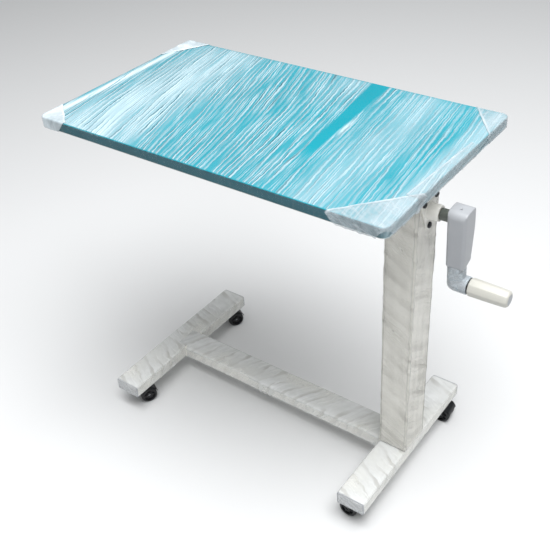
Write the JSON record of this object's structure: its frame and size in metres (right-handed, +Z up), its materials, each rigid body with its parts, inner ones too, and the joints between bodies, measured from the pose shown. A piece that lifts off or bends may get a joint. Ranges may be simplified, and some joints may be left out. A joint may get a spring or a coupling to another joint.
{
  "type": "overbed table",
  "caption": "Overbed table on castors: a film-wrapped turquoise top on an off-centre column, raised by a crank with a spinning grip.",
  "frame": {"origin": "on the floor, at the middle of the overall length and width", "axes": "+X along the table top towards the column and crank, +Z up"},
  "size_m": [0.8818, 0.4408, 0.7524],
  "materials": {
    "core_board": "satin",
    "turquoise_laminate": "gloss",
    "backing_laminate": "matte",
    "edge_band": "gloss",
    "painted_steel": "satin",
    "zinc_steel": "satin",
    "machined_steel": "satin",
    "bronze": "satin",
    "white_nylon": "matte",
    "black_plastic": "satin",
    "black_steel": "satin",
    "grey_plastic": "satin",
    "packing_film": "gloss"
  },
  "bodies": {
    "lift": {"table_board": "core_board", "top_laminate": "turquoise_laminate", "backing_laminate": "backing_laminate", "edge_band": "edge_band", "table_screws": "zinc_steel", "support_rail_front": "painted_steel", "support_rail_back": "painted_steel", "support_cross_tubes": "painted_steel", "rail_end_caps": "black_plastic", "head_plate": "painted_steel", "column_sleeve": "painted_steel", "sleeve_guide_pads": "white_nylon", "bearing_plate": "zinc_steel", "screw_bush": "bronze", "thrust_bearing": "machined_steel", "bearing_housing": "painted_steel", "housing_bolts": "black_steel", "shaft_bush": "bronze", "film_top": "packing_film", "film_column": "packing_film"},
    "base": {"left_foot": "painted_steel", "right_foot": "painted_steel", "cross_bar": "painted_steel", "foot_end_caps": "grey_plastic", "base_post": "zinc_steel", "post_guide_pads": "white_nylon", "nut_plate": "zinc_steel", "drive_nut": "bronze", "nut_plate_screws": "zinc_steel", "castor_stems": "zinc_steel", "stem_nuts": "zinc_steel", "film_left_foot": "packing_film", "film_right_foot": "packing_film", "film_cross_bar": "packing_film"},
    "screw": {"lead_screw": "machined_steel", "screw_gear": "machined_steel", "screw_gear_pin": "zinc_steel"},
    "crank": {"crank_shaft": "machined_steel", "crank_gear": "machined_steel", "crank_gear_pin": "zinc_steel", "shaft_collar": "machined_steel", "crank_arm": "grey_plastic", "arm_pin": "zinc_steel", "grip_spindle": "zinc_steel", "grip_washer": "black_plastic"},
    "grip": {"grip_sleeve": "grey_plastic", "grip_cap": "grey_plastic"},
    "castor_1": {"castor_hood_1": "black_plastic"},
    "wheels_1": {"castor_axle_1": "zinc_steel", "castor_wheels_1": "black_plastic"},
    "castor_2": {"castor_hood_2": "black_plastic"},
    "wheels_2": {"castor_axle_2": "zinc_steel", "castor_wheels_2": "black_plastic"},
    "castor_3": {"castor_hood_3": "black_plastic"},
    "wheels_3": {"castor_axle_3": "zinc_steel", "castor_wheels_3": "black_plastic"},
    "castor_4": {"castor_hood_4": "black_plastic"},
    "wheels_4": {"castor_axle_4": "zinc_steel", "castor_wheels_4": "black_plastic"}
  },
  "joints": [
    {"name": "height", "type": "slide", "parent": "base", "child": "lift", "axis": [0, 0, 1], "range_m": [0, 0.35]},
    {"name": "screw_turn", "type": "hinge", "parent": "lift", "child": "screw", "pos_m": [0.2465, 0, 0.6], "axis": [0, 0, 1], "continuous": true},
    {"name": "crank_turn", "type": "hinge", "parent": "lift", "child": "crank", "pos_m": [0.2965, 0, 0.656], "axis": [1, 0, 0], "continuous": true},
    {"name": "grip_spin", "type": "hinge", "parent": "crank", "child": "grip", "pos_m": [0.4, 0.00593, 0.52109], "axis": [1, 0, 0], "continuous": true},
    {"name": "castor_swivel_1", "type": "hinge", "parent": "base", "child": "castor_1", "pos_m": [-0.3675, -0.17, 0.04], "axis": [0, 0, 1], "continuous": true},
    {"name": "wheel_spin_1", "type": "hinge", "parent": "castor_1", "child": "wheels_1", "pos_m": [-0.35952, -0.15499, 0.02], "axis": [-0.8829, 0.4695, 0], "continuous": true},
    {"name": "castor_swivel_2", "type": "hinge", "parent": "base", "child": "castor_2", "pos_m": [-0.3675, 0.17, 0.04], "axis": [0, 0, 1], "continuous": true},
    {"name": "wheel_spin_2", "type": "hinge", "parent": "castor_2", "child": "wheels_2", "pos_m": [-0.359, 0.18472, 0.02], "axis": [-0.866, 0.5, 0], "continuous": true},
    {"name": "castor_swivel_3", "type": "hinge", "parent": "base", "child": "castor_3", "pos_m": [0.2465, -0.17, 0.04], "axis": [0, 0, 1], "continuous": true},
    {"name": "wheel_spin_3", "type": "hinge", "parent": "castor_3", "child": "wheels_3", "pos_m": [0.2295, -0.17, 0.02], "axis": [0, -1, 0], "continuous": true},
    {"name": "castor_swivel_4", "type": "hinge", "parent": "base", "child": "castor_4", "pos_m": [0.2465, 0.17, 0.04], "axis": [0, 0, 1], "continuous": true},
    {"name": "wheel_spin_4", "type": "hinge", "parent": "castor_4", "child": "wheels_4", "pos_m": [0.26343, 0.17148, 0.02], "axis": [-0.0872, 0.9962, 0], "continuous": true}
  ],
  "couplings": [
    {"joint": "crank_turn", "follows": "height", "rad_per_m": 785.4},
    {"joint": "screw_turn", "follows": "height", "rad_per_m": 785.4}
  ]
}
